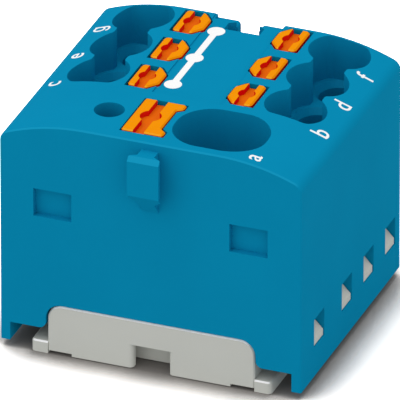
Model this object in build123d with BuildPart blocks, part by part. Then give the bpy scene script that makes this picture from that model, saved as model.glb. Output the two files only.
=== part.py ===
from build123d import *
import math
import os

# Outer body of the housing
width = 26.9
top_z = 21.8
leg_z = 0.7
end_wall_bottom_z = 2.4
top_flat_half = 6.0
top_arc_r = 18.2
shoulder_round_r = 1.0
end_edge_chamfer = 0.12
side_wall = 0.85
end_wall = 0.8

# Pole layout, measured from the front face
pole_pitch = 5.2
row_count = 3
supply_from_front = 4.3
supply_to_first_row = 6.57
last_row_to_rear = 2.43

# General clearances
seat_gap = 0.05
fit_gap = 0.1
slide_gap = 0.12

# Scalloped wire funnels of the outlet rows
outlet_from_side = 4.63
lobe_r = 2.65
lobe_end_half = 2.1
lobe_end_round_r = 0.8
neck_width = 3.0
cusp_round_r = 0.4
funnel_depth = 4.1
throat_mouth_r = 2.2
throat_r = 1.8
throat_cone = 0.55
throat_length = 2.7

# Large wire funnel of the supply pole
supply_funnel_x = 4.72
supply_funnel_width = 8.15
supply_funnel_length = 6.8
supply_funnel_round_r = 3.1
supply_throat_r = 3.0
supply_cone = 1.8

# Outlet push buttons
button_proud = 0.12
outlet_to_button = 3.27
button_width = 2.5
button_length = 3.75
button_chamfer_x = 0.8
button_chamfer_y = 1.0
button_outer_round_r = 0.38
button_inner_round_r = 0.5
button_edge_chamfer = 0.12
button_outer_gap = 0.22
blade_slot_width = 0.9
blade_slot_depth = 0.5
tip_pocket_r = 0.75
collar_overhang = 0.35
collar_outer_overhang = 0.6
collar_height = 1.0
button_travel = 1.2

# Supply push button
supply_button_left_x = -3.15
supply_button_right_x = 0.55
supply_button_waist_x = 0.0
supply_button_length = 5.8
supply_button_waist_length = 3.4
supply_button_arm_length = 0.75
supply_button_round_r = 0.25
supply_slot_from_left = 1.05
supply_slot_width = 1.0
supply_tip_pocket_r = 0.93

# Test probe socket
test_x = -5.3
test_r = 1.3

# Current bar, one stamped copper strip
bar_thickness = 0.8
bar_bend_r = 0.4
tongue_gap = 0.15
tongue_width = 2.9
tongue_height = 6.2
supply_tongue_width = 5.4
bar_test_end_x = -7.2
bar_supply_half = 2.9

# Clamp springs, bent from steel strip
outlet_strip = 0.35
outlet_strip_width = 3.0
outlet_leg_tip_z = 9.3
outlet_bend_r = 0.9
supply_strip = 0.5
supply_strip_width = 5.0
supply_bend_r = 1.3
foot_bend_r = 0.6
loop_drop = 1.25
spring_side_gap = 0.45
spring_tip_gap = 0.35
push_gap = 0.1

# Base that closes the underside and carries the snap noses
deck_top_z = 6.3
deck_thickness = 1.0
foot_half_width = 9.25
foot_top_z = 4.66
foot_wall = 1.0
foot_round_r = 1.3
foot_floor = 1.2
plate_bottom_z = 0.33
plate_thickness = 0.65
plate_edge_chamfer = 0.12
tread_half_width = 7.1
tread_bottom_z = 0.08
flange_half_width = 10.75
flange_height = 1.1
flange_corner_r = 0.4
plate_recess = 0.1
pry_notch_width = 3.2
pry_notch_height = 2.3
pry_notch_depth = 1.9
pry_notch_round_r = 0.4
pry_pocket_width = 5.6
rib_thickness = 1.0
snap_arm_width = 3.2
snap_arm_thickness = 0.8
snap_arm_bottom_z = 1.3
nose_width = 2.2
nose_height = 1.6
nose_flat = 0.55
nose_reach = 0.87
window_width = 2.4
window_height = 2.6
window_bottom_z = 3.5
arch_gap = 0.15
arch_flare_r = 0.6

# Shallow marking pockets on the front face
pocket_inner_x = 7.05
pocket_width = 3.4
pocket_bottom_z = 12.95
pocket_height = 2.6
pocket_depth = 0.65

# Joining tab at the front and its socket at the rear
tab_reach = 1.75
tab_neck_width = 1.5
tab_neck_length = 1.0
tab_head_width = 2.8
tab_flank = 0.4
tab_top_drop = 0.7
tab_height = 3.6
tab_ramp_height = 2.2
tab_chamfer = 0.4
tab_root = 0.3
socket_gap = 0.2
socket_rim = 0.85
socket_extra_reach = 0.6
socket_rim_drop = 0.4
socket_rim_half = 3.0
socket_round_r = 0.35
field_past_buttons = 0.1
field_depth = 0.1
field_before_row = 2.3

# Sizes and places worked out from the ones above
half_width = width / 2
depth = supply_from_front + supply_to_first_row + (row_count - 1) * pole_pitch + last_row_to_rear
front_y = (tab_reach - depth) / 2
rear_y = front_y + depth
supply_y = front_y + supply_from_front
row_ys = [supply_y + supply_to_first_row + row * pole_pitch for row in range(row_count)]
snap_ys = [supply_y] + row_ys
outlet_x = half_width - outlet_from_side
button_outer_x = outlet_x - outlet_to_button
button_inner_x = button_outer_x - button_width
field_half_width = button_inner_x + field_past_buttons
shoulder_z = top_z - top_arc_r + math.sqrt(top_arc_r ** 2 - (half_width - top_flat_half) ** 2)
inner_half_width = half_width - side_wall
funnel_floor_z = top_z - funnel_depth
chamber_top_z = funnel_floor_z - throat_length
bar_top_z = deck_top_z + bar_thickness
cavity_top_z = bar_top_z + fit_gap
tongue_inner_x = outlet_x + throat_r + seat_gap
bar_half_width = tongue_inner_x + bar_thickness
chamber_outer_x = bar_half_width + tongue_gap
chamber_inner_x = button_inner_x - collar_overhang - slide_gap
chamber_half_length = button_length / 2 + slide_gap
supply_tongue_x = supply_funnel_x + supply_throat_r + seat_gap
supply_tongue_outer_x = supply_tongue_x + bar_thickness
supply_chamber_left_x = supply_button_left_x - collar_overhang - slide_gap
supply_chamber_right_x = supply_tongue_outer_x + tongue_gap
supply_chamber_half_length = supply_button_length / 2 + slide_gap
tongue_top_z = bar_top_z + tongue_height
button_top_z = top_z + button_proud
slot_x = button_inner_x + button_width * 0.56
supply_slot_x = supply_button_left_x + supply_slot_from_left + supply_slot_width / 2
collar_top_z = chamber_top_z - seat_gap
loop_z = chamber_top_z - loop_drop
tab_top_z = top_z - tab_top_drop
tab_bottom_z = tab_top_z - tab_height
socket_floor_z = tab_bottom_z - tab_ramp_height - socket_gap
above = 2.0


def outlet_button_outline(side, row_y, grow=0.0, outer_grow=0.0):
    """Plan of an outlet button: straight outside, cut corners inside."""
    inner = button_inner_x - grow
    outer = button_outer_x + outer_grow
    half = button_length / 2 + grow
    cut_x = inner + button_chamfer_x
    cut_y = half - button_chamfer_y
    points = [(outer, half), (outer, -half), (cut_x, -half), (inner, -cut_y), (inner, cut_y), (cut_x, half)]
    return [(side * x, row_y + y) for x, y in points]


def supply_button_outline(grow=0.0):
    """Plan of the supply button, with a waist on the side of its funnel."""
    left = supply_button_left_x - grow
    right = supply_button_right_x + grow
    waist = supply_button_waist_x + grow
    half = supply_button_length / 2 + grow
    arm = supply_button_length / 2 - supply_button_arm_length - grow
    notch = supply_button_waist_length / 2 - grow
    upper = [(left, half), (right, half), (right, arm), (waist, notch)]
    lower = [(x, -y) for x, y in reversed(upper)]
    return [(x, supply_y + y) for x, y in upper + lower]


def tab_outline(root_y, towards, grow=0.0, extra_reach=0.0):
    """Plan of the joining tab: a neck, two flanks and a wide head."""
    neck = tab_neck_width / 2 + grow
    head = tab_head_width / 2 + grow
    neck_end = tab_neck_length - grow
    flank_end = neck_end + tab_flank
    reach = tab_reach + extra_reach
    half = [(neck, -tab_root), (neck, neck_end), (head, flank_end), (head, reach)]
    other = [(-x, y) for x, y in reversed(half)]
    return [(x, root_y + towards * y) for x, y in half + other]


def bar_plan(grow=0.0, edge=0.0):
    """Add the plan of the current bar to the open sketch; edge moves only its tongue sides."""
    rear_half = bar_half_width + grow + edge
    with Locations((0, (row_ys[0] + row_ys[-1]) / 2)):
        Rectangle(2 * rear_half, row_ys[-1] - row_ys[0] + tongue_width + 2 * grow)
    left = bar_test_end_x - grow
    right = supply_tongue_outer_x + grow + edge
    front = supply_y - bar_supply_half - grow
    with Locations(((left + right) / 2, (front + row_ys[0]) / 2)):
        Rectangle(right - left, row_ys[0] - front)


def under_button(side, tip, corner, bend_r, strip, inner_x, toe_x):
    """Outline of the space under a button: flat over the bend of its spring, then along its leg."""
    slope = (corner[1] - tip[1]) / (tip[0] - corner[0])
    half_angle = math.radians(45) - math.atan(slope) / 2
    flat_z = corner[1] - bend_r / math.tan(half_angle) + bend_r + strip / 2 + push_gap
    lift = strip / 2 * math.sqrt(1 + slope ** 2) + push_gap
    knee_x = corner[0] + (corner[1] + lift - flat_z) / slope
    toe_z = flat_z - slope * (toe_x - knee_x)
    points = [(toe_x, toe_z), (knee_x, flat_z), (inner_x - above, flat_z), (inner_x - above, toe_z - above),
              (toe_x, toe_z - above)]
    return [(side * x, z) for x, z in points]


def spring_path(side, tip_x, tip_z, corner_x, corner_z, foot_z, foot_end_x):
    """Corners of a clamp spring from the clamping edge round to its foot."""
    corners = [(tip_x, tip_z), (corner_x, corner_z), (corner_x, foot_z), (foot_end_x, foot_z)]
    return [(side * x, z) for x, z in corners]


# Blue housing with funnels, button shafts, chambers and the joining tab
with BuildPart() as housing:
    with BuildSketch(Plane.XZ.offset(-rear_y)) as body_profile:
        with BuildLine():
            flat = Line((-top_flat_half, top_z), (top_flat_half, top_z))
            TangentArc(flat @ 1, (half_width, shoulder_z), tangent=(1, 0))
            Polyline((half_width, shoulder_z), (half_width, leg_z), (-half_width, leg_z), (-half_width, shoulder_z))
            TangentArc(flat @ 0, (-half_width, shoulder_z), tangent=(-1, 0))
        make_face()
        shoulders = body_profile.vertices().filter_by_position(Axis.Y, shoulder_z - 0.01, shoulder_z + 0.01)
        fillet(shoulders, shoulder_round_r)
    extrude(amount=depth)
    for end_y in (front_y, rear_y):
        end_edges = housing.edges().filter_by_position(Axis.Y, end_y - 0.01, end_y + 0.01)
        chamfer(end_edges.filter_by_position(Axis.Z, leg_z + 1, top_z + 1), end_edge_chamfer)

    # Open underside: room between the legs, then the seat of the base
    middle_y = (front_y + rear_y) / 2
    with BuildSketch(Plane.XY):
        with Locations((0, middle_y)):
            Rectangle(2 * inner_half_width, depth + above)
    extrude(amount=end_wall_bottom_z, mode=Mode.SUBTRACT)
    with BuildSketch(Plane.XY):
        with Locations((0, middle_y)):
            Rectangle(2 * inner_half_width, depth - 2 * end_wall)
    extrude(amount=deck_top_z + seat_gap, mode=Mode.SUBTRACT)

    # Rounded openings of the end walls for the plates of the base, with flared lower corners
    arch_half = foot_half_width + arch_gap
    with BuildSketch(Plane.XZ.offset(-rear_y)) as arch:
        with Locations((0, (foot_top_z + arch_gap) / 2)):
            Rectangle(2 * arch_half, foot_top_z + arch_gap)
        fillet(arch.vertices().group_by(Axis.Y)[-1], foot_round_r + arch_gap)
    extrude(amount=depth, mode=Mode.SUBTRACT)
    wall_corners = housing.edges().filter_by(Axis.Y)
    wall_corners = wall_corners.filter_by_position(Axis.Z, end_wall_bottom_z - 0.01, end_wall_bottom_z + 0.01)
    fillet(wall_corners.filter_by_position(Axis.X, -arch_half - 0.01, arch_half + 0.01), arch_flare_r)

    # Seat of the current bar and the contact chambers above it
    with BuildSketch(Plane.XY.offset(deck_top_z)):
        bar_plan(tongue_gap)
    extrude(amount=bar_thickness + fit_gap, mode=Mode.SUBTRACT)
    with BuildSketch(Plane.XY.offset(bar_top_z)):
        for side in (-1, 1):
            with Locations([(side * (chamber_inner_x + chamber_outer_x) / 2, y) for y in row_ys]):
                Rectangle(chamber_outer_x - chamber_inner_x, 2 * chamber_half_length)
        with Locations(((supply_chamber_left_x + supply_chamber_right_x) / 2, supply_y)):
            Rectangle(supply_chamber_right_x - supply_chamber_left_x, 2 * supply_chamber_half_length)
    extrude(amount=chamber_top_z - bar_top_z, mode=Mode.SUBTRACT)

    # Shafts of the push buttons
    with BuildSketch(Plane.XY.offset(chamber_top_z)):
        for side in (-1, 1):
            for row_y in row_ys:
                shaft = outlet_button_outline(side, row_y, slide_gap, button_outer_gap)
                Polygon(*shaft, align=None)
        Polygon(*supply_button_outline(slide_gap), align=None)
    extrude(amount=top_z + above - chamber_top_z, mode=Mode.SUBTRACT)

    # Scalloped outlet funnels with a conical throat under each lobe
    row_span = row_ys[-1] - row_ys[0]
    row_middle = (row_ys[0] + row_ys[-1]) / 2
    for side in (-1, 1):
        with BuildSketch(Plane.XY.offset(funnel_floor_z)) as scallop:
            with Locations([(side * outlet_x, y) for y in row_ys]):
                Circle(lobe_r)
            with Locations((side * outlet_x, row_middle)):
                Rectangle(neck_width, row_span)
                Rectangle(2 * lobe_r + above, row_span + 2 * lobe_end_half, mode=Mode.INTERSECT)
            by_row = scallop.vertices().group_by(Axis.Y)
            end_corners = by_row[0] + by_row[-1]
            cusps = [corner for group in by_row[1:-1] for corner in group]
            fillet(end_corners, lobe_end_round_r)
            fillet(scallop.vertices().filter_by_position(Axis.Y, row_ys[0] + 1, row_ys[-1] - 1), cusp_round_r)
        extrude(amount=top_z + above - funnel_floor_z, mode=Mode.SUBTRACT)
        throat_spots = [(side * outlet_x, y, funnel_floor_z) for y in row_ys]
        with Locations(throat_spots):
            Cylinder(throat_r, throat_length, align=(Align.CENTER, Align.CENTER, Align.MAX), mode=Mode.SUBTRACT)
            Cone(throat_r, throat_mouth_r, throat_cone, align=(Align.CENTER, Align.CENTER, Align.MAX),
                 mode=Mode.SUBTRACT)

    # Large funnel of the supply pole, drawn in to a round throat
    with BuildSketch(Plane.XY.offset(funnel_floor_z)):
        with Locations((supply_funnel_x, supply_y)):
            RectangleRounded(supply_funnel_width, supply_funnel_length, supply_funnel_round_r)
    extrude(amount=top_z + above - funnel_floor_z, mode=Mode.SUBTRACT)
    with BuildSketch(Plane.XY.offset(funnel_floor_z)):
        with Locations((supply_funnel_x, supply_y)):
            RectangleRounded(supply_funnel_width, supply_funnel_length, supply_funnel_round_r)
    with BuildSketch(Plane.XY.offset(funnel_floor_z - supply_cone)):
        with Locations((supply_funnel_x, supply_y)):
            Circle(supply_throat_r)
    loft(mode=Mode.SUBTRACT)
    with Locations((supply_funnel_x, supply_y, funnel_floor_z)):
        Cylinder(supply_throat_r, throat_length, align=(Align.CENTER, Align.CENTER, Align.MAX), mode=Mode.SUBTRACT)

    # Test probe socket down to the current bar
    with Locations((test_x, supply_y, top_z + above)):
        Cylinder(test_r, top_z + above - bar_top_z, align=(Align.CENTER, Align.CENTER, Align.MAX), mode=Mode.SUBTRACT)

    # Windows of the snap noses in both side walls
    for side in (-1, 1):
        with Locations([(side * half_width, y, window_bottom_z) for y in snap_ys]):
            Box(2 * side_wall + fit_gap, window_width, window_height,
                align=(Align.CENTER, Align.CENTER, Align.MIN), mode=Mode.SUBTRACT)

    # Two shallow pockets on the front face
    with BuildSketch(Plane.XZ.offset(-front_y)):
        for side in (-1, 1):
            with Locations((side * (pocket_inner_x + pocket_width / 2), pocket_bottom_z + pocket_height / 2)):
                Rectangle(pocket_width, pocket_height)
    extrude(amount=-pocket_depth, mode=Mode.SUBTRACT)

    # Shallow field between the button rows, ending in the lowered rim of the socket
    with BuildSketch(Plane.XY.offset(top_z - field_depth)):
        field_front = row_ys[0] - field_before_row
        with Locations((0, (field_front + rear_y + above) / 2)):
            Rectangle(2 * field_half_width, rear_y + above - field_front)
    extrude(amount=above, mode=Mode.SUBTRACT)
    with BuildSketch(Plane.XY.offset(top_z - socket_rim_drop)):
        with Locations((0, rear_y)):
            Rectangle(2 * socket_rim_half, 2 * socket_rim)
    extrude(amount=above, mode=Mode.SUBTRACT)
    with BuildSketch(Plane.XY.offset(socket_floor_z)):
        Polygon(*tab_outline(rear_y, -1, socket_gap, socket_extra_reach), align=None)
    extrude(amount=top_z + above - socket_floor_z, mode=Mode.SUBTRACT)
    rim_z = top_z - socket_rim_drop
    rim_corners = housing.edges().filter_by(Axis.Y).filter_by_position(Axis.Z, rim_z - 0.01, rim_z + 0.01)
    slot_half = tab_neck_width / 2 + socket_gap
    fillet(rim_corners.filter_by_position(Axis.X, -slot_half - 0.01, slot_half + 0.01), socket_round_r)

    # Joining tab: neck, flanks and head, carried by a ramp
    ramp_bottom_z = tab_bottom_z - tab_ramp_height
    with BuildSketch(Plane.XY.offset(ramp_bottom_z)):
        Polygon(*tab_outline(front_y, -1), align=None)
    extrude(amount=tab_top_z - ramp_bottom_z)
    with BuildSketch(Plane.YZ):
        tip_y = front_y - tab_reach
        Polygon((front_y, ramp_bottom_z), (tip_y, tab_bottom_z), (tip_y - above, tab_bottom_z),
                (tip_y - above, ramp_bottom_z - above), (front_y, ramp_bottom_z - above), align=None)
    extrude(amount=tab_head_width, both=True, mode=Mode.SUBTRACT)
    tab_front = housing.edges().filter_by(Axis.X).group_by(Axis.Y)[0].sort_by(Axis.Z)[-1]
    chamfer(tab_front, tab_chamfer)
housing.part.label = "housing"

# Flanges along both sides of the base, which the block stands on
foot_length = depth - 2 * plate_recess
with BuildPart() as flanges:
    with BuildSketch(Plane.XY):
        with Locations((0, middle_y)):
            RectangleRounded(2 * flange_half_width, foot_length, flange_corner_r)
    extrude(amount=flange_height)
    chamfer(flanges.faces().sort_by(Axis.Z)[-1].edges(), plate_edge_chamfer)
    with Locations((0, middle_y)):
        Box(2 * foot_half_width, foot_length, 2 * flange_height, mode=Mode.SUBTRACT)

# Grey base: deck under the current bar, foot tub, flanges, ribs and snap arms
with BuildPart() as base_cover:
    inside_depth = depth - 2 * end_wall - 2 * fit_gap
    deck_bottom_z = deck_top_z - deck_thickness
    foot_inner_half = foot_half_width - foot_wall
    with BuildSketch(Plane.XY.offset(deck_bottom_z)):
        with Locations((0, middle_y)):
            Rectangle(2 * (inner_half_width - fit_gap), inside_depth)
    extrude(amount=deck_thickness)
    with BuildSketch(Plane.XY.offset(plate_bottom_z)):
        with Locations((0, middle_y)):
            Rectangle(2 * foot_half_width, inside_depth)
    extrude(amount=deck_top_z - plate_bottom_z)
    with BuildSketch(Plane.XZ.offset(plate_recess - rear_y)) as plate:
        with Locations((0, (plate_bottom_z + foot_top_z) / 2)):
            Rectangle(2 * foot_half_width, foot_top_z - plate_bottom_z)
        fillet(plate.vertices().group_by(Axis.Y)[-1], foot_round_r)
    extrude(amount=foot_length)
    plate_front_y = front_y + plate_recess
    plate_rear_y = rear_y - plate_recess
    for end_y in (plate_front_y, plate_rear_y):
        plate_edges = base_cover.edges().filter_by_position(Axis.Y, end_y - 0.01, end_y + 0.01)
        chamfer(plate_edges.filter_by_position(Axis.Z, plate_bottom_z + 1, foot_top_z + 1), plate_edge_chamfer)
    with BuildSketch(Plane.XY.offset(tread_bottom_z)):
        with Locations((0, middle_y)):
            Rectangle(2 * tread_half_width, foot_length)
    extrude(amount=plate_bottom_z - tread_bottom_z)
    add(flanges.part)

    # Hollow of the tub, open upwards, crossed by ribs that carry the current bar
    with BuildSketch(Plane.XY.offset(foot_floor)):
        with Locations((0, middle_y)):
            Rectangle(2 * foot_inner_half, inside_depth - 2 * foot_wall)
    extrude(amount=deck_top_z, mode=Mode.SUBTRACT)
    rib_ys = [(a + b) / 2 for a, b in zip(snap_ys, snap_ys[1:])]
    with BuildSketch(Plane.XY.offset(foot_floor)):
        with Locations([(0, y) for y in rib_ys]):
            Rectangle(2 * foot_inner_half, rib_thickness)
    extrude(amount=deck_top_z - foot_floor)

    # Pry notch in the front plate, wider behind it, with its own walls inside the tub
    notch_back = plate_front_y + pry_notch_depth
    notch_inner = plate_front_y + plate_thickness
    with BuildSketch(Plane.XY.offset(foot_floor)):
        with Locations((0, (notch_inner + notch_back + foot_wall) / 2)):
            Rectangle(pry_pocket_width + 2 * foot_wall, notch_back + foot_wall - notch_inner)
    extrude(amount=pry_notch_height + foot_wall - foot_floor)
    with BuildSketch(Plane.XY):
        with Locations((0, plate_front_y)):
            Rectangle(pry_notch_width, 2 * plate_thickness)
        with Locations((0, (notch_inner + notch_back) / 2)):
            Rectangle(pry_pocket_width, notch_back - notch_inner)
    extrude(amount=pry_notch_height, mode=Mode.SUBTRACT)
    notch_edges = base_cover.edges().filter_by(Axis.Z)
    notch_edges = notch_edges.filter_by_position(Axis.Y, plate_front_y - 0.01, plate_front_y + 0.01)
    fillet(notch_edges.filter_by_position(Axis.X, -pry_notch_width, pry_notch_width), pry_notch_round_r)

    # Snap arms along both sides, each with a nose that catches its window
    arm_outer = inner_half_width - fit_gap
    nose_bottom_z = window_bottom_z + seat_gap
    for side in (-1, 1):
        with BuildSketch(Plane.XY.offset(snap_arm_bottom_z)):
            with Locations([(side * (arm_outer - snap_arm_thickness / 2), y) for y in snap_ys]):
                Rectangle(snap_arm_thickness, snap_arm_width)
        extrude(amount=deck_top_z - snap_arm_bottom_z)
        for snap_y in snap_ys:
            with BuildSketch(Plane.XZ.offset(-snap_y)):
                nose = [(arm_outer - fit_gap, nose_bottom_z), (arm_outer + nose_reach, nose_bottom_z),
                        (arm_outer + nose_reach, nose_bottom_z + nose_flat),
                        (arm_outer - fit_gap, nose_bottom_z + nose_height)]
                Polygon(*[(side * x, z) for x, z in nose], align=None)
            extrude(amount=nose_width / 2, both=True)
base_cover.part.label = "base_cover"

# Current bar: plate with a bent-up contact tongue for every pole
with BuildPart() as current_bar:
    bend_line_r = bar_bend_r + bar_thickness / 2
    plate_z = deck_top_z + bar_thickness / 2
    with BuildSketch(Plane.XY.offset(deck_top_z)):
        bar_plan(0, -(bar_thickness + bar_bend_r))
    extrude(amount=bar_thickness)
    for side in (-1, 1):
        for row_y in row_ys:
            with BuildSketch(Plane.XZ.offset(-row_y)):
                with BuildLine():
                    bend_x = tongue_inner_x + bar_thickness / 2
                    FilletPolyline((side * (bend_x - 2 * bend_line_r), plate_z), (side * bend_x, plate_z),
                                   (side * bend_x, tongue_top_z), radius=bend_line_r)
                trace(line_width=bar_thickness)
            extrude(amount=tongue_width / 2, both=True)
    with BuildSketch(Plane.XZ.offset(-supply_y)):
        with BuildLine():
            bend_x = supply_tongue_x + bar_thickness / 2
            FilletPolyline((bend_x - 2 * bend_line_r, plate_z), (bend_x, plate_z), (bend_x, tongue_top_z),
                           radius=bend_line_r)
        trace(line_width=bar_thickness)
    extrude(amount=supply_tongue_width / 2, both=True)
current_bar.part.label = "current_bar"

# Outlet poles: a clamp spring and a push button each, lettered as printed beside the funnels
outlet_tip = (tongue_inner_x - spring_tip_gap, outlet_leg_tip_z)
outlet_corner = (chamber_inner_x + spring_side_gap + outlet_strip / 2, loop_z)
outlet_foot = (outlet_x - throat_r, bar_top_z + seat_gap + outlet_strip / 2)
letters = {(1, 0): "b", (1, 1): "d", (1, 2): "f", (-1, 0): "c", (-1, 1): "e", (-1, 2): "g"}
outlets = []
for (side, row), letter in letters.items():
    row_y = row_ys[row]
    with BuildPart() as spring:
        with BuildSketch(Plane.XZ.offset(-row_y)):
            with BuildLine():
                corners = spring_path(side, *outlet_tip, *outlet_corner, outlet_foot[1], outlet_foot[0])
                FilletPolyline(*corners, radius=[outlet_bend_r, foot_bend_r])
            trace(line_width=outlet_strip)
        extrude(amount=outlet_strip_width / 2, both=True)
    spring.part.label = "clamp_spring_" + letter

    with BuildPart() as button:
        below = under_button(side, outlet_tip, outlet_corner, outlet_bend_r, outlet_strip,
                             button_inner_x, button_outer_x)
        toe_z = below[0][1]
        with BuildSketch(Plane.XY.offset(toe_z)) as shank:
            Polygon(*outlet_button_outline(side, row_y), align=None)
            corners = shank.vertices().sort_by(Axis.X)[::side]
            fillet(corners[-2:], button_outer_round_r)
            fillet(shank.vertices().sort_by(Axis.X)[::side][:4], button_inner_round_r)
        extrude(amount=button_top_z - toe_z)
        chamfer(button.faces().sort_by(Axis.Z)[-1].edges(), button_edge_chamfer)
        collar_inner_x = button_inner_x - collar_overhang
        collar_outer_x = button_outer_x + collar_outer_overhang
        with BuildSketch(Plane.XY.offset(collar_top_z - collar_height)):
            with Locations((side * (collar_inner_x + collar_outer_x) / 2, row_y)):
                Rectangle(collar_outer_x - collar_inner_x, button_length)
        extrude(amount=collar_height)
        with BuildSketch(Plane.XZ.offset(-row_y)):
            Polygon(*below, align=None)
        extrude(amount=button_length, both=True, mode=Mode.SUBTRACT)
        with Locations((side * slot_x, row_y, button_top_z)):
            Box(blade_slot_width, button_length + above, 2 * blade_slot_depth, mode=Mode.SUBTRACT)
            Cylinder(tip_pocket_r, 2 * blade_slot_depth, mode=Mode.SUBTRACT)
    button.part.label = "button_" + letter
    outlets += [spring.part, button.part]

# Supply pole a: the same pair at a larger size
supply_tip = (supply_tongue_x - spring_tip_gap, outlet_leg_tip_z)
supply_corner = (supply_chamber_left_x + spring_side_gap + supply_strip / 2, loop_z)
with BuildPart() as clamp_spring_a:
    with BuildSketch(Plane.XZ.offset(-supply_y)):
        with BuildLine():
            supply_foot_z = bar_top_z + seat_gap + supply_strip / 2
            corners = spring_path(1, *supply_tip, *supply_corner, supply_foot_z, supply_funnel_x - supply_throat_r)
            FilletPolyline(*corners, radius=[supply_bend_r, foot_bend_r])
        trace(line_width=supply_strip)
    extrude(amount=supply_strip_width / 2, both=True)
clamp_spring_a.part.label = "clamp_spring_a"

with BuildPart() as button_a:
    below = under_button(1, supply_tip, supply_corner, supply_bend_r, supply_strip,
                         supply_button_left_x, supply_button_right_x)
    toe_z = below[0][1]
    with BuildSketch(Plane.XY.offset(toe_z)) as shank:
        Polygon(*supply_button_outline(), align=None)
        fillet(shank.vertices(), supply_button_round_r)
    extrude(amount=button_top_z - toe_z)
    chamfer(button_a.faces().sort_by(Axis.Z)[-1].edges(), button_edge_chamfer)
    with BuildSketch(Plane.XY.offset(collar_top_z - collar_height)):
        with Locations(((supply_button_left_x + supply_button_right_x) / 2, supply_y)):
            Rectangle(supply_button_right_x - supply_button_left_x + 2 * collar_overhang, supply_button_length)
    extrude(amount=collar_height)
    with BuildSketch(Plane.XZ.offset(-supply_y)):
        Polygon(*below, align=None)
    extrude(amount=supply_button_length, both=True, mode=Mode.SUBTRACT)
    with Locations((supply_slot_x, supply_y, button_top_z)):
        Box(supply_slot_width, supply_button_length + above, 2 * blade_slot_depth, mode=Mode.SUBTRACT)
        Cylinder(supply_tip_pocket_r, 2 * blade_slot_depth, mode=Mode.SUBTRACT)
button_a.part.label = "button_a"

os.makedirs("parts", exist_ok=True)
pieces = [housing.part, base_cover.part, current_bar.part, clamp_spring_a.part, button_a.part] + outlets
for piece in pieces:
    export_step(piece, "parts/" + piece.label + ".step")
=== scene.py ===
import logging
import math
from dataclasses import dataclass, field
from enum import Enum
from typing import Any, Iterable, Optional, Union

import bpy
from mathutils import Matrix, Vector


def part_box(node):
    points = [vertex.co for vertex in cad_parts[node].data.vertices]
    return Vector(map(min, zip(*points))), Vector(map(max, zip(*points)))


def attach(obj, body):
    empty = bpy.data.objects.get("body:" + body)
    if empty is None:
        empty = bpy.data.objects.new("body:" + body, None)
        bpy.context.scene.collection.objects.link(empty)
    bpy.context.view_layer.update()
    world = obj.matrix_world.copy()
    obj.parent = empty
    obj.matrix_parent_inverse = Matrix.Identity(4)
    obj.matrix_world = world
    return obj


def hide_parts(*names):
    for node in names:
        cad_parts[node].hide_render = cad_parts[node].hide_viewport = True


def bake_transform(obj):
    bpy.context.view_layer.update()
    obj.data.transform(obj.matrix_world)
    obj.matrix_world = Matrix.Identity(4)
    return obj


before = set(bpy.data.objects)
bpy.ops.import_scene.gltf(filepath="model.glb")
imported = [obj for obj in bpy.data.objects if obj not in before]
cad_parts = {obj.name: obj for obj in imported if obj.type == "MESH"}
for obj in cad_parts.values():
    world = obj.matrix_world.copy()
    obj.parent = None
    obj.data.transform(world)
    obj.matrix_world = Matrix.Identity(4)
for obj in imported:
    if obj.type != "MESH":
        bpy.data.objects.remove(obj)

LOG = logging.getLogger("distribution_block")
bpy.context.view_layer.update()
MM = 0.001
MERGE_DISTANCE = 0.0005 * MM
OCCLUSION_SAMPLES = 16
# Facing span over which the painted edge highlight comes in.
EDGE_HIGHLIGHT_SPAN = (0.3, 0.46)
GRAIN_FINENESS = 0.6

Colour = tuple[float, float, float, float]
Pair = tuple[float, float]
Operand = Union["Value", float]


class Slot(Enum):
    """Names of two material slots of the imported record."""

    HOUSING = "housing_blue"
    SPRING = "spring_steel"


def srgb(red: int, green: int, blue: int) -> Colour:
    """Turn a display colour into a linear one.

    Args:
        red: Red from 0 to 255.
        green: Green from 0 to 255.
        blue: Blue from 0 to 255.

    Returns:
        Linear red, green, blue and an alpha of 1.
    """
    shown = (red / 255, green / 255, blue / 255)
    linear = [part / 12.92 if part <= 0.04045 else ((part + 0.055) / 1.055) ** 2.4
              for part in shown]
    return (linear[0], linear[1], linear[2], 1.0)


def evenly(level: float) -> Colour:
    """Grey of one linear level."""
    return (level, level, level, 1.0)


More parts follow.
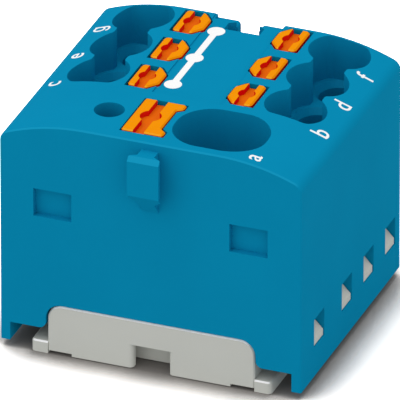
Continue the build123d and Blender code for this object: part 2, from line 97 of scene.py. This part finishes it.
class Value:
    """A number that varies over a surface; arithmetic on it adds Math nodes."""

    def __init__(self, graph: "Graph", socket: bpy.types.NodeSocket) -> None:
        """Wrap a socket.

        Args:
            graph: Graph that the socket belongs to.
            socket: Output socket that gives the number.
        """
        self.graph = graph
        self.socket = socket

    def math(self, operation: str, *others: Any, swapped: bool = False) -> "Value":
        """Combine this value with others in one Math node.

        Args:
            operation: Name of the Math operation.
            others: Further operands: values, sockets or numbers.
            swapped: Whether this value comes after the first other operand.

        Returns:
            The combined value.
        """
        operands = [self, *others]
        if swapped:
            operands[0], operands[1] = operands[1], operands[0]
        node = self.graph.node("ShaderNodeMath", dict(enumerate(operands)), operation=operation)
        return Value(self.graph, node.outputs[0])

    def __add__(self, other: Operand) -> "Value":
        """Sum of both."""
        return self.math("ADD", other)

    def __radd__(self, other: float) -> "Value":
        """Sum with a number on the left."""
        return self.math("ADD", other, swapped=True)

    def __sub__(self, other: Operand) -> "Value":
        """Difference of both."""
        return self.math("SUBTRACT", other)

    def __rsub__(self, other: float) -> "Value":
        """Difference with a number on the left."""
        return self.math("SUBTRACT", other, swapped=True)

    def __mul__(self, other: Operand) -> "Value":
        """Product of both."""
        return self.math("MULTIPLY", other)

    def __rmul__(self, other: float) -> "Value":
        """Product with a number on the left."""
        return self.math("MULTIPLY", other, swapped=True)

    def __abs__(self) -> "Value":
        """Size without its sign."""
        return self.math("ABSOLUTE")

    def ramp(self, low: float, high: float) -> "Value":
        """Rise smoothly from 0 to 1.

        Args:
            low: Value at which the rise starts.
            high: Value at which it ends.

        Returns:
            The smooth step.
        """
        inputs = {"Value": self, "From Min": low, "From Max": high}
        node = self.graph.node(
            "ShaderNodeMapRange", inputs, interpolation_type="SMOOTHSTEP", clamp=True)
        return Value(self.graph, node.outputs[0])


class Graph:
    """Nodes of one material or of the world."""

    def __init__(self, tree: bpy.types.NodeTree) -> None:
        """Empty a node tree.

        Args:
            tree: The tree to fill.
        """
        self.tree = tree
        self.tree.nodes.clear()

    def connect(self, given: Any, socket: bpy.types.NodeSocket) -> None:
        """Feed a socket with a value, an output socket or a constant.

        Args:
            given: Value, output socket, number, colour or vector.
            socket: Input socket that takes it.
        """
        if isinstance(given, Value):
            self.tree.links.new(given.socket, socket)
        elif isinstance(given, bpy.types.NodeSocket):
            self.tree.links.new(given, socket)
        else:
            socket.default_value = given

    def node(self, kind: str, inputs: Optional[dict[Any, Any]] = None,
             **settings: Any) -> bpy.types.Node:
        """Add a node.

        Args:
            kind: Node type.
            inputs: What each socket, by name or place, takes.
            settings: Attributes, set before the inputs.

        Returns:
            The node.
        """
        made = self.tree.nodes.new(kind)
        for key, given in settings.items():
            setattr(made, key, given)
        for key, given in (inputs or {}).items():
            self.connect(given, made.inputs[key])
        return made

    def blend(self, mask: Operand, first: Any, second: Any) -> bpy.types.NodeSocket:
        """Mix two colours.

        Args:
            mask: Share of the second colour.
            first: Colour or colour socket.
            second: Colour or colour socket.

        Returns:
            The mixed colour's socket.
        """
        factor, colour_a, colour_b, mixed = 0, 6, 7, 2
        inputs = {factor: mask, colour_a: first, colour_b: second}
        return self.node("ShaderNodeMix", inputs, data_type="RGBA").outputs[mixed]


class Material(Graph):
    """Node graph of one material, with the patterns that a finish draws on."""

    def __init__(self, name: str) -> None:
        """Start an empty material.

        Args:
            name: Name of the material.
        """
        self.made = bpy.data.materials.new(name)
        self.made.use_nodes = True
        super().__init__(self.made.node_tree)

    def place(self) -> bpy.types.NodeSocket:
        """Object coordinates in metres."""
        return self.node("ShaderNodeTexCoord").outputs["Object"]

    def part(self, vector: bpy.types.NodeSocket, name: str) -> Value:
        """One part of a vector.

        Args:
            vector: Socket that gives the vector.
            name: X, Y or Z.

        Returns:
            The part.
        """
        return Value(self, self.node("ShaderNodeSeparateXYZ", {0: vector}).outputs[name])

    def axis(self, name: str) -> Value:
        """One object coordinate in metres, by its name X, Y or Z."""
        return self.part(self.place(), name)

    def facing(self, name: str) -> Value:
        """Part X, Y or Z of the surface's own direction, from -1 to 1."""
        return self.part(self.node("ShaderNodeNewGeometry").outputs["True Normal"], name)

    def painted_edge_highlight(self) -> Value:
        """Mask of painted highlight on broken edges between top faces and front or rear faces."""
        return (abs(self.facing("Y")) * self.facing("Z")).ramp(*EDGE_HIGHLIGHT_SPAN)

    def openness(self, reach: float) -> Value:
        """How free the space in front of a surface is.

        Args:
            reach: Distance within which other surfaces count, in metres.

        Returns:
            The share, 1 where nothing is near.
        """
        inputs = {"Distance": reach}
        made = self.node("ShaderNodeAmbientOcclusion", inputs, samples=OCCLUSION_SAMPLES)
        return Value(self, made.outputs["AO"])

    def noise(self, per_metre: float, detail: float = 2.0, fineness: float = 0.5) -> Value:
        """Cloudy pattern from 0 to 1.

        Args:
            per_metre: Number of patches in a metre.
            detail: Levels of finer noise.
            fineness: Share that the finer levels have.

        Returns:
            The pattern.
        """
        inputs = {"Vector": self.place(), "Scale": per_metre, "Detail": detail,
                  "Roughness": fineness}
        return Value(self, self.node("ShaderNodeTexNoise", inputs).outputs["Fac"])

    def grain(self, per_metre: float) -> Value:
        """Sharper noise for a moulded or printed skin, with so many patches in a metre."""
        return self.noise(per_metre, fineness=GRAIN_FINENESS)

    def streaks(self, along: float, across: float) -> Value:
        """Noise drawn out along X.

        Args:
            along: Patches in a metre along X.
            across: Patches in a metre across it.

        Returns:
            The pattern.
        """
        scaled = {"Vector": self.place(), "Scale": (along, across, across)}
        stretched = self.node("ShaderNodeMapping", scaled).outputs[0]
        inputs = {"Vector": stretched, "Scale": 1.0, "Detail": 3.0}
        return Value(self, self.node("ShaderNodeTexNoise", inputs).outputs["Fac"])

    def bump(self, height: Value, distance: float, strength: float) -> bpy.types.NodeSocket:
        """Turn a height into a surface direction.

        Args:
            height: Height from 0 to 1.
            distance: Real height of 1, in metres.
            strength: Share of it that shows.

        Returns:
            The direction's socket.
        """
        inputs = {"Height": height, "Distance": distance, "Strength": strength}
        return self.node("ShaderNodeBump", inputs).outputs[0]

    def finish(self, inputs: dict[str, Any],
               shader: str = "ShaderNodeBsdfPrincipled") -> bpy.types.Material:
        """End the graph in a shader.

        Args:
            inputs: What the shader's sockets take, by name.
            shader: Node type of the shader.

        Returns:
            The material.
        """
        self.node("ShaderNodeOutputMaterial", {0: self.node(shader, inputs).outputs[0]})
        return self.made


@dataclass(frozen=True)
class MouldedPlastic:
    """Injection-moulded polyamide with a fine spark-eroded skin."""

    name: str
    colour: Colour
    shade: Colour
    # Painted highlight colour for the broken top edges.
    edge_highlight: Colour
    roughness: float = 0.44
    specular: float = 0.001
    clouds_per_metre: float = 140.0
    cloud_span: Pair = (0.3, 0.72)
    cloud_share: float = 0.35
    grain_share: float = 0.12
    grain_per_metre: float = 9000.0
    fine_per_metre: float = 1980.0
    fine_roughness: float = 0.08
    grain_roughness: float = 0.05
    fine_height_share: float = 0.6
    grain_height: float = 0.004 * MM
    bump_share: float = 0.55

    def material(self) -> bpy.types.Material:
        """Make the material.

        Returns:
            The material.
        """
        graph = Material(self.name)
        clouds = graph.noise(self.clouds_per_metre, detail=3.0)
        grain = graph.grain(self.grain_per_metre)
        fine = graph.noise(self.fine_per_metre)
        mask = clouds.ramp(*self.cloud_span) * self.cloud_share + grain * self.grain_share
        skin = graph.blend(mask, self.colour, self.shade)
        height = grain + fine * self.fine_height_share
        return graph.finish({
            # Painted highlight laid on the broken edges between top and front or rear faces.
            "Base Color": graph.blend(graph.painted_edge_highlight(), skin, self.edge_highlight),
            "Roughness": self.roughness + fine * self.fine_roughness + grain * self.grain_roughness,
            "Specular IOR Level": self.specular,
            "Normal": graph.bump(height, self.grain_height, self.bump_share),
        })


@dataclass(frozen=True)
class ButtonPlastic:
    """Orange push-button plastic, with painted shade: red walls, red-orange low in the driver slot.
    """

    name: str
    top: Colour
    # Red-orange of the painted shade low in the driver slot, also the tone of the random mottling.
    slot_shade_and_mottle: Colour
    # Red of the painted shade on upright walls.
    wall_shade: Colour
    # Painted highlight colour for the broken top edges.
    edge_highlight: Colour
    channel_depth: float
    slot_shade_span: Pair = (0.9, 0.4)
    wall_shade_span: Pair = (0.35, 0.8)
    roughness: float = 0.38
    grain_roughness: float = 0.1
    specular: float = 0.006
    grain_per_metre: float = 7000.0
    grain_height: float = 0.003 * MM
    bump_share: float = 0.5
    clouds_per_metre: float = 420.0
    cloud_span: Pair = (0.35, 0.75)
    cloud_share: float = 0.12

    def material(self) -> bpy.types.Material:
        """Make the material.

        Returns:
            The material.
        """
        graph = Material(self.name)
        top_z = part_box("button_b")[1].z
        low, high = (top_z - share * self.channel_depth for share in self.slot_shade_span)
        flat = abs(graph.facing("Z")).ramp(*self.wall_shade_span)
        grain = graph.grain(self.grain_per_metre)
        clouds = graph.noise(self.clouds_per_metre).ramp(*self.cloud_span)
        # Painted shade: red-orange towards the bottom of the driver slot.
        level = graph.blend(graph.axis("Z").ramp(low, high), self.slot_shade_and_mottle, self.top)
        # Painted shade: upright faces turn red.
        colour = graph.blend(flat, self.wall_shade, level)
        shaded = graph.blend(clouds * self.cloud_share, colour, self.slot_shade_and_mottle)
        return graph.finish({
            # Painted highlight on the broken top edges.
            "Base Color": graph.blend(graph.painted_edge_highlight(), shaded, self.edge_highlight),
            "Roughness": self.roughness + grain * self.grain_roughness,
            "Specular IOR Level": self.specular,
            "Normal": graph.bump(grain, self.grain_height, self.bump_share),
        })


@dataclass(frozen=True)
class PrintedInk:
    """White printing ink, slightly broken at its surface."""

    name: str
    colour: Colour
    thin: Colour
    thin_span: Pair = (0.58, 0.8)
    thin_share: float = 0.25
    roughness: float = 0.5
    grain_roughness: float = 0.15
    specular: float = 0.2
    grain_per_metre: float = 11000.0
    grain_height: float = 0.002 * MM
    bump_share: float = 0.4

    def material(self) -> bpy.types.Material:
        """Make the material.

        Returns:
            The material.
        """
        graph = Material(self.name)
        grain = graph.grain(self.grain_per_metre)
        worn = grain.ramp(*self.thin_span) * self.thin_share
        return graph.finish({
            "Base Color": graph.blend(worn, self.colour, self.thin),
            "Roughness": self.roughness + grain * self.grain_roughness,
            "Specular IOR Level": self.specular,
            "Normal": graph.bump(grain, self.grain_height, self.bump_share),
        })


@dataclass(frozen=True)
class StripMetal:
    """Rolled metal strip with fine drawing lines."""

    name: str
    colour: Colour
    dull: Colour
    roughness: float
    line_roughness: float = 0.14
    lines_along: float = 500.0
    lines_across: float = 9000.0
    line_height: float = 0.002 * MM
    bump_share: float = 0.5
    stains_per_metre: float = 600.0
    stain_span: Pair = (0.4, 0.75)
    stain_share: float = 0.5

    def material(self) -> bpy.types.Material:
        """Make the material.

        Returns:
            The material.
        """
        graph = Material(self.name)
        lines = graph.streaks(self.lines_along, self.lines_across)
        stains = graph.noise(self.stains_per_metre, detail=3.0).ramp(*self.stain_span)
        return graph.finish({
            "Base Color": graph.blend(stains * self.stain_share, self.colour, self.dull),
            "Metallic": 1.0,
            "Roughness": self.roughness + lines * self.line_roughness - self.line_roughness / 2,
            "Normal": graph.bump(lines, self.line_height, self.bump_share),
        })


def deselect() -> None:
    """Clear the selection."""
    if bpy.context.object and bpy.context.object.mode != "OBJECT":
        bpy.ops.object.mode_set(mode="OBJECT")
    bpy.ops.object.select_all(action="DESELECT")


def activate(piece: bpy.types.Object) -> None:
    """Select one object alone and make it active.

    Args:
        piece: The object.
    """
    deselect()
    piece.select_set(True)
    bpy.context.view_layer.objects.active = piece


def settle(piece: bpy.types.Object) -> None:
    """Write an object's place, turn and size into its mesh.

    Args:
        piece: The object.
    """
    activate(piece)
    bpy.ops.object.transform_apply(location=True, rotation=True, scale=True)


def clean(piece: bpy.types.Object, smooth_angle: float) -> None:
    """Merge doubled points, turn faces outwards and smooth the soft edges.

    Args:
        piece: Mesh object to clean.
        smooth_angle: Angle in degrees up to which edges are smooth.
    """
    activate(piece)
    bpy.ops.object.mode_set(mode="EDIT")
    bpy.ops.mesh.select_all(action="SELECT")
    bpy.ops.mesh.remove_doubles(threshold=MERGE_DISTANCE)
    bpy.ops.mesh.normals_make_consistent(inside=False)
    bpy.ops.object.mode_set(mode="OBJECT")
    bpy.ops.object.shade_smooth_by_angle(angle=math.radians(smooth_angle))


def dress(piece: bpy.types.Object, material: bpy.types.Material) -> None:
    """Give an object one material.

    Args:
        piece: The object.
        material: Its new material.
    """
    if not piece.material_slots:
        piece.data.materials.append(material)
    for material_slot in piece.material_slots:
        material_slot.material = material


@dataclass(frozen=True)
class TopFace:
    """The housing's top: flat in the middle, falling in an arc to both sides."""

    top_z: float = 21.8 * MM
    flat_half: float = 6.0 * MM
    arc_r: float = 18.2 * MM

    def height(self, x: float) -> float:
        """Height of the top at a distance from the middle.

        Args:
            x: Distance from the middle plane.

        Returns:
            Height above the floor.
        """
        past = max(abs(x) - self.flat_half, 0.0)
        return self.top_z - self.arc_r + math.sqrt(self.arc_r ** 2 - past ** 2)


@dataclass(frozen=True)
class Housing:
    """Blue moulded housing with its printed marks."""

    # Blue skin, its random darker tone, and a lighter painted edge highlight.
    finish: MouldedPlastic = MouldedPlastic(
        "blue_polyamide", srgb(8, 140, 182), srgb(7, 133, 175), srgb(20, 149, 190))
    ink: PrintedInk = PrintedInk("white_ink", (0.96, 0.97, 0.97, 1.0), srgb(196, 222, 232))
    face: TopFace = TopFace()
    front_y: float = -10.975 * MM
    letter_size: float = 2.2 * MM
    stroke_growth: float = 0.017 * MM
    curve_steps: int = 6
    open_g: str = "\u0261"
    open_g_share: float = 0.86
    letter_lift: float = 0.004 * MM
    ink_thickness: float = 0.02 * MM
    smooth_angle: float = 30.0
    field_drop: float = 0.1 * MM
    line_x: float = -2.03 * MM
    line_width: float = 0.58 * MM
    dot_r: float = 0.76 * MM
    dot_sides: int = 40
    dot_rows: tuple[float, ...] = (10.56 * MM, 15.6 * MM, 20.68 * MM)
    letters: dict[str, Pair] = field(default_factory=lambda: {
        "a": (8.92 * MM, 1.2 * MM), "b": (11.89 * MM, 8.55 * MM),
        "d": (11.87 * MM, 13.68 * MM), "f": (11.9 * MM, 19.12 * MM),
        "g": (-11.74 * MM, 19.09 * MM), "e": (-11.95 * MM, 14.01 * MM),
        "c": (-11.94 * MM, 8.67 * MM)})

    def write_letter(self, letter: str) -> bpy.types.Object:
        """Make one letter's mesh, upright at the origin.

        Args:
            letter: The letter.

        Returns:
            The letter's mesh object.
        """
        deselect()
        bpy.ops.object.text_add()
        text = bpy.context.object
        text.data.body = self.open_g if letter == "g" else letter
        text.data.size = self.letter_size * (self.open_g_share if letter == "g" else 1.0)
        text.data.extrude = self.ink_thickness / 2
        text.data.resolution_u = self.curve_steps
        text.data.offset = self.stroke_growth
        activate(text)
        bpy.ops.object.convert(target="MESH")
        piece = bpy.context.object
        piece.name = piece.data.name = "letter_" + letter
        return piece

    def build_letter(self, letter: str, x: float, from_front: float) -> bpy.types.Object:
        """Make one printed letter that lies on the top.

        Args:
            letter: The letter.
            x: Distance of its middle from the middle plane.
            from_front: Distance of its middle from the front face.

        Returns:
            The letter's mesh object.
        """
        piece = self.write_letter(letter)
        points = [vertex.co for vertex in piece.data.vertices]
        middle_x = (min(p.x for p in points) + max(p.x for p in points)) / 2
        middle_y = (min(p.y for p in points) + max(p.y for p in points)) / 2
        activate(piece)
        bpy.ops.object.mode_set(mode="EDIT")
        bpy.ops.mesh.select_all(action="SELECT")
        bpy.ops.transform.translate(value=(-middle_x, -middle_y, 0))
        bpy.ops.transform.rotate(value=-math.pi / 2, orient_axis="Z", center_override=(0, 0, 0))
        bpy.ops.transform.translate(value=(x, self.front_y + from_front, 0))
        bpy.ops.object.mode_set(mode="OBJECT")
        for vertex in piece.data.vertices:
            vertex.co.z += self.face.height(vertex.co.x) + self.ink_thickness / 2 - self.letter_lift
        clean(piece, self.smooth_angle)
        return piece

    def add_dot(self, line: bpy.types.Object, place: Vector) -> None:
        """Join one round dot to the printed line.

        Args:
            line: The line's mesh object.
            place: Middle of the dot.
        """
        deselect()
        bpy.ops.mesh.primitive_cylinder_add(
            vertices=self.dot_sides, radius=self.dot_r, depth=self.ink_thickness, location=place)
        dot = bpy.context.object
        settle(dot)
        activate(line)
        union = line.modifiers.new("union", "BOOLEAN")
        union.operation = "UNION"
        union.object = dot
        bpy.ops.object.modifier_apply(modifier=union.name)
        bpy.data.objects.remove(dot)

    def build_line(self) -> bpy.types.Object:
        """Make the printed line with its three dots.

        Returns:
            The line's mesh object.
        """
        z = self.face.top_z - self.field_drop + self.ink_thickness / 2 - self.letter_lift
        start, end = self.front_y + self.dot_rows[0], self.front_y + self.dot_rows[-1]
        deselect()
        bpy.ops.mesh.primitive_cube_add(size=1, location=(self.line_x, (start + end) / 2, z))
        line = bpy.context.object
        line.name = line.data.name = "printed_line"
        line.scale = (self.line_width, end - start, self.ink_thickness)
        settle(line)
        for row in self.dot_rows:
            self.add_dot(line, Vector((self.line_x, self.front_y + row, z)))
        clean(line, self.smooth_angle)
        return line

    def build(self) -> list[bpy.types.Object]:
        """Make all printed marks.

        Returns:
            The marks.
        """
        marks = [self.build_letter(letter, x, y) for letter, (x, y) in self.letters.items()]
        marks.append(self.build_line())
        for mark in marks:
            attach(mark, "housing")
        return marks

    def dress(self, marks: Iterable[bpy.types.Object]) -> None:
        """Give the housing and its marks their finishes.

        Args:
            marks: The printed marks.
        """
        dress(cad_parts["housing"], self.finish.material())
        ink = self.ink.material()
        for mark in marks:
            dress(mark, ink)


@dataclass(frozen=True)
class BaseCover:
    """Grey base with its plates, flanges and snap noses."""

    # Grey skin, its random darker tone, and a white painted highlight on the top edges.
    finish: MouldedPlastic = MouldedPlastic(
        "grey_polyamide", srgb(206, 207, 200), srgb(199, 200, 193), srgb(255, 255, 255),
        specular=0.06)

    def dress(self) -> None:
        """Give the base its finish."""
        dress(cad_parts["base_cover"], self.finish.material())


@dataclass(frozen=True)
class Poles:
    """Push buttons, clamp springs and the bar that joins them."""

    letters: str = "abcdefg"
    # Orange top, painted slot shade, painted wall shade and painted edge highlight.
    button_finish: ButtonPlastic = ButtonPlastic(
        "orange_polyamide", srgb(245, 149, 0), srgb(236, 110, 14), srgb(218, 14, 16),
        srgb(255, 168, 36), channel_depth=0.5 * MM)
    spring_finish: StripMetal = StripMetal(
        "spring_strip", (0.62, 0.61, 0.59, 1.0), (0.44, 0.43, 0.42, 1.0), roughness=0.32)
    bar_finish: StripMetal = StripMetal(
        "tinned_strip", (0.74, 0.72, 0.69, 1.0), (0.58, 0.55, 0.51, 1.0), roughness=0.38)
    foot_z: float = 7.7 * MM
    push_z: float = 12.4 * MM
    smooth_angle: float = 40.0

    def build_spring(self, letter: str) -> bpy.types.Object:
        """Make a cleaned copy of a clamp spring and hide the CAD spring.

        Args:
            letter: Letter of its pole.

        Returns:
            The spring's mesh object.
        """
        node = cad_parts["clamp_spring_" + letter]
        deselect()
        spring = bpy.data.objects.new("leaf_spring_" + letter, node.data.copy())
        spring.data.name = spring.name
        bpy.context.scene.collection.objects.link(spring)
        clean(spring, self.smooth_angle)
        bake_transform(spring)
        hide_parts("clamp_spring_" + letter)
        return spring

    def build(self) -> list[bpy.types.Object]:
        """Make all springs."""
        return [self.build_spring(letter) for letter in self.letters]

    def dress(self, springs: Iterable[bpy.types.Object]) -> None:
        """Give buttons, bar and springs their finishes.

        Args:
            springs: The springs.
        """
        orange = self.button_finish.material()
        for letter in self.letters:
            dress(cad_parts["button_" + letter], orange)
        dress(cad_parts["current_bar"], self.bar_finish.material())
        steel = self.spring_finish.material()
        for spring in springs:
            dress(spring, steel)


@dataclass(frozen=True)
class Studio:
    """Camera, lamps, white surroundings and floor."""

    azimuth: float = 20.998
    elevation: float = 28.474
    lens: float = 1500.0
    pixels_per_metre: float = 11920.0
    image_width: int = 400
    sensor: float = 36.0
    clip_shares: Pair = (0.1, 3.0)
    aim: tuple[float, float, float] = (0.0, 0.859 * MM, 10.914 * MM)
    aim_right: float = -0.092 * MM
    aim_up: float = -0.4 * MM
    ambient: float = 0.84
    key: float = 0.6
    key_direction: tuple[float, float, float] = (-0.36, -0.27, 0.893)
    key_angle: float = 50.0
    floor_size: float = 1.6
    floor_drop: float = 0.02 * MM
    floor_albedo: float = 0.66
    floor_gain: float = 2.2
    floor_tint: tuple[float, float, float] = (1.065, 1.0, 0.95)
    # Reach, span and darkest level of the painted contact shadow on the floor.
    contact_reach: float = 5.6 * MM
    contact_span: Pair = (0.46, 1.0)
    contact_shade: float = 0.2

    def build_camera(self) -> None:
        """Place the camera at the photograph's angle."""
        a, e = math.radians(self.azimuth), math.radians(self.elevation)
        right = Vector((math.cos(a), math.sin(a), 0))
        up = Vector((-math.sin(a) * math.sin(e), math.cos(a) * math.sin(e), math.cos(e)))
        back = Vector((math.sin(a) * math.cos(e), -math.cos(a) * math.cos(e), math.sin(e)))
        distance = self.lens / self.sensor * self.image_width / self.pixels_per_metre
        target = Vector(self.aim) + right * self.aim_right + up * self.aim_up
        bpy.ops.object.camera_add(location=target + back * distance)
        camera = bpy.context.object
        camera.rotation_mode = "QUATERNION"
        camera.rotation_quaternion = (-back).to_track_quat("-Z", "Y")
        camera.data.sensor_width = self.sensor
        camera.data.lens = self.lens
        near, far = self.clip_shares
        camera.data.clip_start = distance * near
        camera.data.clip_end = distance * far
        bpy.context.scene.camera = camera

    def build_key(self) -> None:
        """Add the soft key lamp."""
        bpy.ops.object.light_add(type="SUN")
        key = bpy.context.object
        key.data.energy = self.key
        key.data.angle = math.radians(self.key_angle)
        key.rotation_mode = "QUATERNION"
        key.rotation_quaternion = (-Vector(self.key_direction)).to_track_quat("-Z", "Y")

    def build_surroundings(self) -> None:
        """Make the pale surroundings, plain white to the camera and in reflections."""
        world = bpy.data.worlds.new("pale_studio")
        bpy.context.scene.world = world
        world.use_nodes = True
        graph = Graph(world.node_tree)
        path = graph.node("ShaderNodeLightPath")
        seen = Value(graph, path.outputs["Is Camera Ray"])
        for kind in ("Is Transmission Ray", "Is Glossy Ray"):
            seen = seen.math("MAXIMUM", path.outputs[kind])
        levels = {"Value": seen, "To Min": self.ambient, "To Max": 1.0}
        strength = graph.node("ShaderNodeMapRange", levels).outputs[0]
        inputs = {"Color": evenly(1.0), "Strength": strength}
        background = graph.node("ShaderNodeBackground", inputs).outputs[0]
        graph.node("ShaderNodeOutputWorld", {0: background})

    def floor_colour(self, level: float) -> Colour:
        """Tinted floor colour, which takes back the housing's blue in its shadow.

        Args:
            level: Linear level before the tint.

        Returns:
            The colour.
        """
        red, green, blue = (level * part for part in self.floor_tint)
        return (red, green, blue, 1.0)

    def build_floor(self) -> bpy.types.Object:
        """Lay the pale floor, which keeps the shadow and carries a painted contact shadow near the
        block.

        Returns:
            The floor object.
        """
        deselect()
        bpy.ops.mesh.primitive_plane_add(size=self.floor_size, location=(0, 0, -self.floor_drop))
        floor = bpy.context.object
        floor.name = floor.data.name = "floor"
        settle(floor)
        graph = Material("pale_floor")
        seen = Value(graph, graph.node("ShaderNodeLightPath").outputs["Is Camera Ray"])
        # Painted contact shadow: the floor the camera sees darkens where the occlusion finds the
        # block near.
        clear = graph.openness(self.contact_reach).ramp(*self.contact_span)
        shade, pale = self.floor_colour(self.contact_shade), self.floor_colour(self.floor_gain)
        lit = graph.blend(seen, evenly(self.floor_albedo), graph.blend(clear, shade, pale))
        dress(floor, graph.finish({"Color": lit}, "ShaderNodeBsdfDiffuse"))
        return floor

    def build(self) -> None:
        """Make the whole studio."""
        bpy.context.scene.view_settings.view_transform = "Standard"
        self.build_camera()
        self.build_key()
        self.build_surroundings()
        self.build_floor()


def main() -> None:
    """Build and dress the block, then its studio."""
    logging.basicConfig(level=logging.INFO, format="%(message)s")
    housing = Housing()
    marks = housing.build()
    housing.dress(marks)
    LOG.info("housing with %d printed marks", len(marks))
    BaseCover().dress()
    LOG.info("base cover")
    poles = Poles()
    springs = poles.build()
    poles.dress(springs)
    LOG.info("poles with %d springs", len(springs))
    Studio().build()
    LOG.info("studio")


if __name__ == "__main__":
    main()
